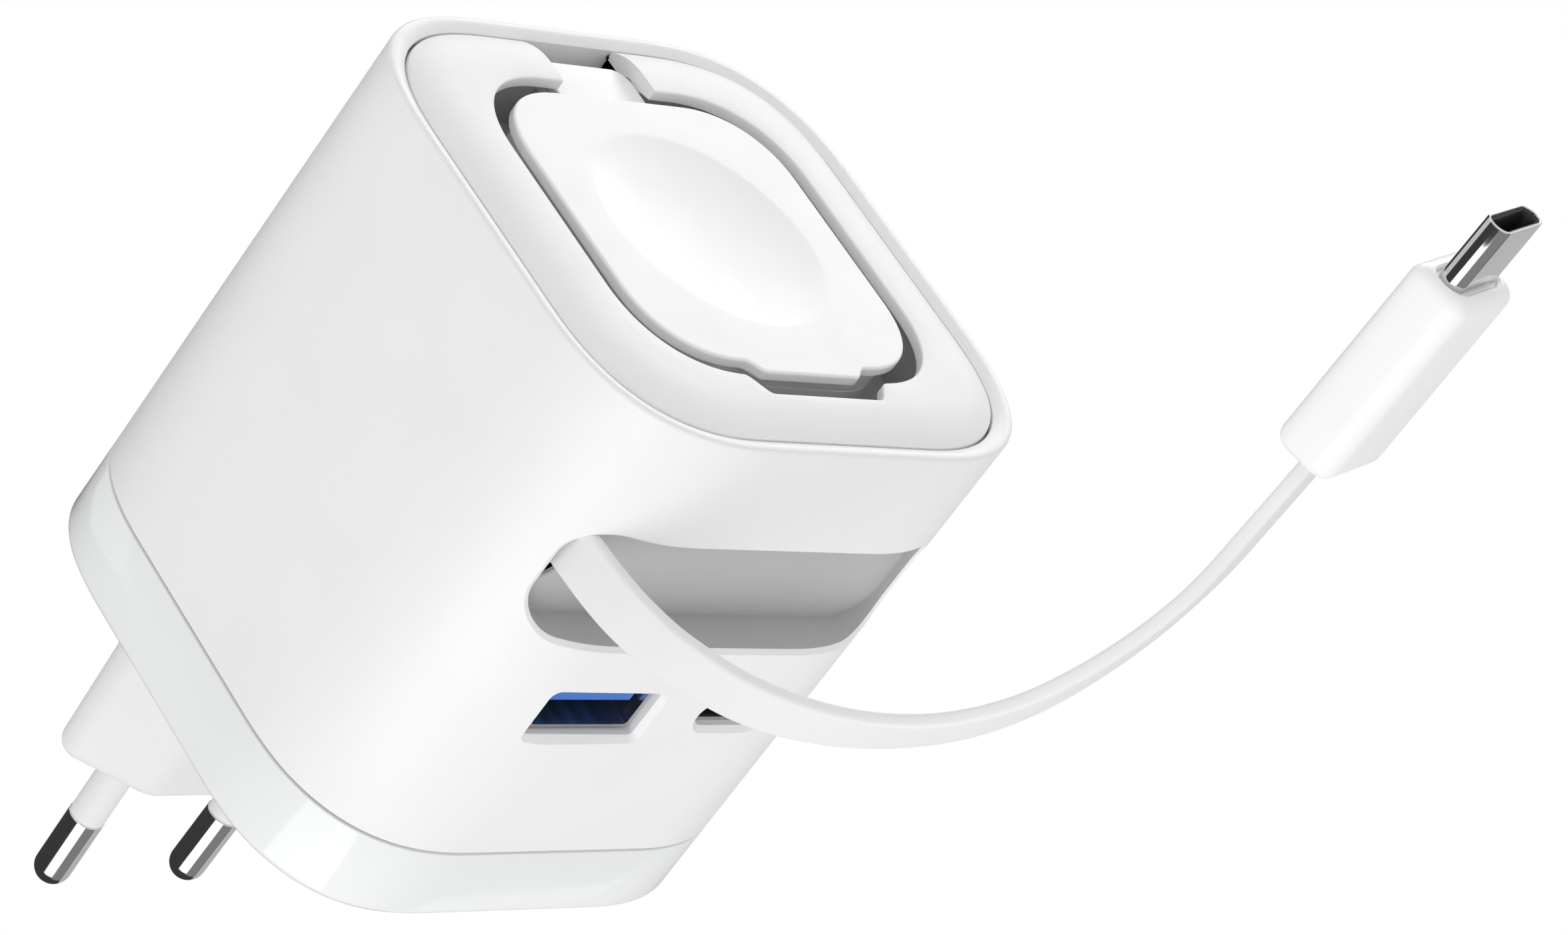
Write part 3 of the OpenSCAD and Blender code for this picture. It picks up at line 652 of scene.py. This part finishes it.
# The bump in the recess's outline is the notch for a finger, under the pad's own bump.
FINGER_HALF, FINGER_REACH, FINGER_RUN = 8.4, 22.15, 2.4
RECESS_LIP = 0.22
RECESS_DEPTH = 5.8
RECESS_WALL = 1.2
# Under its lip, whose thickness is SKIN, the recess is wider by this much all round.
UNDERCUT = 1.5
SKIN = 1.15
z_recess = Z_PLATE + RECESS_DEPTH
# The face rises towards the recess by CROWN, over CROWN_RUN from the plate's edge.
CROWN, CROWN_RUN, CROWN_POWER = 1.4, 5.4, 2.6
CROWN_EDGE = PLATE_EDGE + 0.1


def recess(margin=0.0):
    return with_bump(RECESS_W + 2 * margin, RECESS_R + margin, FINGER_HALF + margin,
                     FINGER_REACH + margin, FINGER_RUN)


recess_edge = dense(recess(), OUTLINE_STEP)
plate_angles = np.arctan2(recess_edge[:, 1], recess_edge[:, 0])


def recess_ring(margin, z):
    return level(at_angles(recess(margin), plate_angles), z, BODY_Y)


def plate_ring(inset, z):
    return level(at_angles(body_outline(inset), plate_angles), z, BODY_Y)


def inset_of(points):
    """How far each point lies inside the body's outline."""
    edge = body_outline()
    ends = np.roll(edge, -1, 0)
    along = ends - edge
    size = np.maximum((along ** 2).sum(1), TINY)
    distances = []
    for p in points:
        share = (((p - edge) * along).sum(1) / size).clip(0, 1)
        distances.append(np.linalg.norm(edge + share[:, None] * along - p, axis=1).min())
    return np.array(distances)


def crown_ring(share):
    """A ring on the crowned face, from the recess at share 0 to the plate's edge at share 1."""
    inner = moved_in(recess_edge, -RECESS_LIP)
    outer = at_angles(body_outline(CROWN_EDGE), plate_angles)
    points = inner + share * (outer - inner)
    run = (inset_of(points) - CROWN_EDGE).clip(0, CROWN_RUN) / CROWN_RUN
    rise = CROWN * (1 - (1 - run) ** CROWN_POWER)
    return np.column_stack([points[:, 0], points[:, 1] + BODY_Y, Z_PLATE - 0.02 - rise])


def sunk(ring, depth):
    return ring + (0, 0, depth)


crown_inner = crown_ring(0)
recess_top = recess_ring(0, 0)
recess_top[:, 2] = crown_inner[:, 2]
# From the recess's floor up its wall, over its lip, across the crowned face and down behind the edge.
plate_rings = [
    recess_ring(UNDERCUT, z_recess), recess_ring(UNDERCUT, Z_PLATE + 0.1), sunk(recess_top, SKIN),
    sunk(recess_top, 0.2)]
for margin, depth in [(0.03, 0.1), (0.1, 0.03)]:
    edge_ring = level(moved_in(recess_edge, -margin), 0, BODY_Y)
    edge_ring[:, 2] = crown_inner[:, 2] + depth
    plate_rings.append(edge_ring)
plate_rings += [crown_ring(share) for share in (0, 0.2, 0.4, 0.55, 0.68, 0.78, 0.86, 0.92, 0.96, 1)]
plate_rings += [
    plate_ring(PLATE_EDGE + 0.03, Z_PLATE + 0.03), plate_ring(PLATE_EDGE, Z_PLATE + 0.12),
    plate_ring(PLATE_EDGE, Z_PLATE + PLATE_DEPTH), plate_ring(PLATE_EDGE + 1.4, Z_PLATE + PLATE_DEPTH),
    recess_ring(UNDERCUT + RECESS_WALL, Z_PLATE + PLATE_DEPTH),
    recess_ring(UNDERCUT + RECESS_WALL, z_recess + RECESS_WALL)]
plate = loft("front_plate_shell", plate_rings)
NOTCH_HALF = 6.15
NOTCH_START, NOTCH_END = BODY_Y + 15, BODY_Y + 32
NOTCH_DEPTH = 4.4
z_bay = Z_PLATE + NOTCH_DEPTH


def notch(name):
    """A cutter for the space that the hinge's arm swings in."""
    return box_object(name, (-NOTCH_HALF, NOTCH_START, Z_RIM - 10), (NOTCH_HALF, NOTCH_END, z_bay))


piece(carve(plate, notch("notch_cutter")), HOUSING, "plate_white", "front_plate")
# A black ring in the gap round the front plate: painted shadow in the joint.
plate_painted_shadow = painted_shadow_ring("plate_painted_shadow", WALL - 0.15, PLATE_EDGE + 0.15, Z_PLATE + 0.6, Z_PLATE + 1.0)
piece(carve(plate_painted_shadow, notch("plate_shadow_cutter")), HOUSING, "black_plastic")

# A grey lining over the recess's floor and walls, and one round the space behind the hinge's arm; their
# grey is painted shade.
tub_outer, tub_inner = UNDERCUT - 0.05, UNDERCUT - 0.2
tub_start = Z_PLATE + 0.3
tub = loft("recess_painted_shade", [
    recess_ring(tub_outer, z_recess - 0.05), recess_ring(tub_outer, tub_start),
    recess_ring(tub_inner, tub_start), recess_ring(tub_inner, z_recess - 0.2)])
piece(carve(tub, notch("recess_shade_cutter")), HOUSING, "liner_grey")

BAY_WALL = 1.2
BAY_START, BAY_END = BODY_Y + 18.9, BODY_Y + 27.1
# The bay's walls are coloured grey as painted shade round the space behind the hinge's arm.
bay = box_object("hinge_bay_painted_shade", (-NOTCH_HALF - BAY_WALL, BAY_START, Z_PLATE + 0.9),
                 (NOTCH_HALF + BAY_WALL, BAY_END, z_bay + BAY_WALL))
piece(carve(bay, notch("bay_cutter")), HOUSING, "liner_grey")

# ---------- Watch pad ----------

Z_PAD = pad_low.z
z_split = pad_high.z
z_pad_back = mm_box("pad_base")[1].z
PAD_W, PAD_R = 35.9, 9.9
PAD_EDGE = 0.28
TAB_HALF, TAB_REACH, TAB_RUN, TAB_T = 7.1, 1.4, 2.1, 1.1
DISH_R, DISH_DEPTH = 13.0, 0.9
pad_edge = dense(with_bump(PAD_W, PAD_R, TAB_HALF, PAD_W / 2 + TAB_REACH, TAB_RUN), OUTLINE_STEP)
pad_plain = soft_rect(PAD_W, PAD_W, PAD_R, 2.3, 30)
pad_angles = np.arctan2(pad_edge[:, 1], pad_edge[:, 0])
spokes = np.stack([np.cos(pad_angles), np.sin(pad_angles)], 1)


def dish_depth(r):
    """Depth of the dish, part of a ball, at a distance from its middle."""
    ball = (DISH_R ** 2 + DISH_DEPTH ** 2) / 2 / DISH_DEPTH
    return DISH_DEPTH - ball + math.sqrt(ball ** 2 - r ** 2)


dish_radii = (0.2, 2, 4, 6, 8, 9.5, 10.8, 11.8, 12.5, DISH_R - 0.15)
pad_rings = [level(spokes * r, Z_PAD + dish_depth(r), BODY_Y) for r in dish_radii]
pad_rings += [level(spokes * (DISH_R + 0.05), Z_PAD + 0.008, BODY_Y)]
flat_start = spokes * (DISH_R + 0.3)
flat_end = moved_in(pad_edge, PAD_EDGE + 0.12)
pad_rings += [level(flat_start * (1 - t) + flat_end * t, Z_PAD, BODY_Y) for t in (0, 0.5, 1)]
pad_rings += [level(moved_in(pad_edge, inset), Z_PAD + PAD_EDGE - rise, BODY_Y)
              for inset, rise in rounding(PAD_EDGE, 6)[::-1]]
pad_rings += [
    level(pad_edge, Z_PAD + TAB_T - 0.08, BODY_Y), level(moved_in(pad_edge, 0.08), Z_PAD + TAB_T, BODY_Y)]
# Behind the tab the pad is 1 mm smaller all round, down to the joint with its base.
pad_rings += [
    level(at_angles(moved_in(pad_plain, inset), pad_angles), z, BODY_Y)
    for inset, z in ((1, Z_PAD + TAB_T + 0.02), (1, z_split - 0.12), (1.12, z_split))]
pad = loft("pad_cover_moulding", pad_rings)
piece(pad, PAD, "pad_white", "pad_cover")


def base_ring(inset, z):
    return level(moved_in(pad_plain, inset), z, BODY_Y)


BASE_INSET = 1.02
BASE_EDGE = 0.6
base_rings = [base_ring(BASE_INSET + 0.18, z_split + 0.02), base_ring(BASE_INSET, z_split + 0.16)]
base_rings += [base_ring(BASE_INSET + inset, z_pad_back - BASE_EDGE + rise)
               for inset, rise in rounding(BASE_EDGE)]
base = loft("pad_base_moulding", base_rings)
piece(base, PAD, "pad_white", "pad_base")

ARM_HALF, ARM_START, ARM_END = 5.9, 14, 24.3
ARM_THICK = 2.6
ARM_EDGE = 0.25
ARM_START_R, ARM_END_R = 0.3, 2.0
z_arm_back = Z_PLATE + ARM_THICK
arm_outline = rounded_polygon(
    [(-ARM_HALF, ARM_START), (ARM_HALF, ARM_START), (ARM_HALF, ARM_END), (-ARM_HALF, ARM_END)],
    [ARM_START_R, ARM_START_R, ARM_END_R, ARM_END_R], 10)


def arm_ring(inset, z):
    return level(moved_in(arm_outline, inset), z, BODY_Y)


arm_edge = rounding(ARM_EDGE)
arm_rings = [arm_ring(ARM_EDGE - rise, Z_PLATE + inset) for inset, rise in arm_edge]
arm_rings += [arm_ring(inset, z_arm_back - ARM_EDGE + rise) for inset, rise in arm_edge]
arm = loft("hinge_arm", arm_rings)
piece(arm, PAD, "pad_white")

# ---------- Rear cover ----------

COVER_EDGE = 0.9
COVER_BACK = 2.2
z_cover_start = z_sleeve_end + SEAM
# The cover's tongue reaches into the sleeve.
tongue_inner, tongue_outer = WALL + 1.1, WALL + 0.05
cover_profile = [
    (tongue_inner, Z_REAR - COVER_BACK), (tongue_inner, cover_low.z), (tongue_outer, cover_low.z),
    (tongue_outer, z_cover_start), (0.16, z_cover_start), (0.05, z_cover_start + 0.05),
    (0, z_cover_start + 0.17)]
cover_profile += [(inset, Z_REAR - COVER_EDGE + rise) for inset, rise in rounding(COVER_EDGE, 7)]
cover = loft("rear_cover_shell", [body_ring(inset, z) for inset, z in cover_profile])
piece(cover, HOUSING, "cover_gloss", "rear_cover")

# ---------- Mains plug ----------

INSERT_H = 14.1
POINT_X, SHOULDER_X = 20.3, 11.4
POINT_R, SHOULDER_R = 2.2, 4.0
INSERT_EDGE = 1.8
INSERT_DRAFT = 0.8
Z_INSERT_END = -0.2
insert_outline = rounded_polygon(
    [(POINT_X, 0), (SHOULDER_X, INSERT_H / 2), (-SHOULDER_X, INSERT_H / 2),
     (-POINT_X, 0), (-SHOULDER_X, -INSERT_H / 2), (SHOULDER_X, -INSERT_H / 2)],
    [POINT_R, SHOULDER_R, SHOULDER_R] * 2, 12)
insert_rings = [level(moved_in(insert_outline, -INSERT_DRAFT), Z_REAR - 1)]
insert_rings += [level(moved_in(insert_outline, inset), Z_INSERT_END - INSERT_EDGE + rise)
                 for inset, rise in rounding(INSERT_EDGE, 8)]
insert = loft("plug_insert_moulding", insert_rings)
piece(insert, HOUSING, "insert_white", "plug_insert")

PIN_LEN, PIN_R = 19.0, 2.0
# Radius of the metal under the insulation.
PIN_CORE_R = 1.4
SLEEVE_LEN, PIN_SLEEVE_R = 9.4, 1.93
PIN_LEAN = math.radians(1.5)
PIN_PITCH = 19.0
tip_turns = np.linspace(0, math.pi / 2, 14)[:-1]
tip_profile = [(PIN_R * math.cos(a), PIN_LEN - PIN_R + PIN_R * math.sin(a)) for a in tip_turns]
metal_profile = [
    (PIN_CORE_R, 2), (PIN_CORE_R, SLEEVE_LEN - 0.4), (PIN_R - 0.08, SLEEVE_LEN), (PIN_R, SLEEVE_LEN + 0.08),
    *tip_profile, (0.05, PIN_LEN)]
insulation_profile = [
    (PIN_SLEEVE_R, -1), (PIN_SLEEVE_R, SLEEVE_LEN - 0.12), (PIN_SLEEVE_R - 0.12, SLEEVE_LEN)]
for side, name in ((1, "left"), (-1, "right")):
    root = Matrix.Translation((side * PIN_PITCH / 2 * MM, 0, 0))
    leaning = root @ Matrix.Rotation(-side * PIN_LEAN, 4, "Y")
    metal = turned(lathe(f"pin_metal_{name}", metal_profile), leaning)
    piece(metal, HOUSING, "pin_metal", f"pin_{name}")
    insulation = turned(lathe(f"pin_insulation_{name}", insulation_profile), leaning)
    piece(insulation, HOUSING, "insert_white", f"pin_sleeve_{name}")

# ---------- CAD nodes without a visual piece ----------

slots = {s["node"]: s["material_slot"] for s in frame["record"]["subparts"]}
for node, obj in frame["nodes"].items():
    obj.data.materials.clear()
    obj.data.materials.append(material(slots[node]))

# ---------- Stage and light ----------

FLOOR_Z = -420
FLOOR_HALF = 6000
floor_corners = [(-FLOOR_HALF, -FLOOR_HALF, FLOOR_Z), (FLOOR_HALF, -FLOOR_HALF, FLOOR_Z),
                 (FLOOR_HALF, FLOOR_HALF, FLOOR_Z), (-FLOOR_HALF, FLOOR_HALF, FLOOR_Z)]
floor = mesh_object("floor", floor_corners, [(0, 1, 2, 3)])
floor.data.materials.append(speckled("floor_paper", (0.85, 0.85, 0.85), rough=0.8, grain=2, bump=20))

# The lamps are aimed here. Their distances and sizes are in metres.
lit_point = Vector((0, BODY_Y, -55)) * MM


def softbox(name, direction, distance, size, brightness, up=(0, 0, 1)):
    """A large light out of the camera's sight; brightness is what it gives a white face turned to it."""
    data = bpy.data.lights.new(name, "AREA")
    data.shape = "RECTANGLE"
    data.size, data.size_y = size
    data.energy = brightness * (math.pi * distance) ** 2
    light = bpy.data.objects.new(name, data)
    towards = Vector(direction).normalized()
    place = Matrix.Translation(lit_point + towards * distance)
    light.matrix_world = place @ facing(-towards, Vector(up)).to_4x4()
    light.visible_camera = False
    bpy.context.scene.collection.objects.link(light)


softbox("key", (0.66, -0.66, 0.4), distance=0.6, size=(0.5, 0.6), brightness=0.46)
softbox("overhead", (-0.67, 0.6, -0.6), distance=0.8, size=(0.6, 0.6), brightness=0.86)
softbox("below", (0.3, -0.2, -1), distance=0.4, size=(0.5, 0.5), brightness=0.14, up=(0, 1, 0))
softbox("front", (-0.1, -1, 0.3), distance=0.8, size=(1.6, 1.2), brightness=0.2)
softbox("far_side", (-1, -0.1, 0.4), distance=0.8, size=(0.8, 1.0), brightness=0.2)
softbox("back", (0.5, 0.9, 0.1), distance=0.9, size=(0.8, 0.8), brightness=0.15)

world = bpy.data.worlds.new("studio")
bpy.context.scene.world = world
world.use_nodes = True
sky_nodes, sky_links = world.node_tree.nodes, world.node_tree.links


def sky_mix(first, second, share):
    """A colour that goes from first to second as the share rises."""
    mixed = sky_nodes.new("ShaderNodeMix")
    mixed.data_type = "RGBA"
    mixed.inputs["B"].default_value = second
    sky_links.new(share, mixed.inputs["Factor"])
    if isinstance(first, tuple):
        mixed.inputs["A"].default_value = first
    else:
        sky_links.new(first, mixed.inputs["A"])
    return mixed.outputs["Result"]


# The studio is white to the camera, soft grey as a light, and dark where metal mirrors it.
SOFT_GREY, DARK, WHITE = (0.66, 0.66, 0.66, 1), (0.05, 0.05, 0.05, 1), (1, 1, 1, 1)
path = sky_nodes.new("ShaderNodeLightPath")
studio = sky_mix(SOFT_GREY, DARK, path.outputs["Is Glossy Ray"])
studio = sky_mix(studio, WHITE, path.outputs["Is Camera Ray"])
sky_links.new(studio, sky_nodes["Background"].inputs["Color"])
bpy.context.scene.view_settings.view_transform = "Standard"
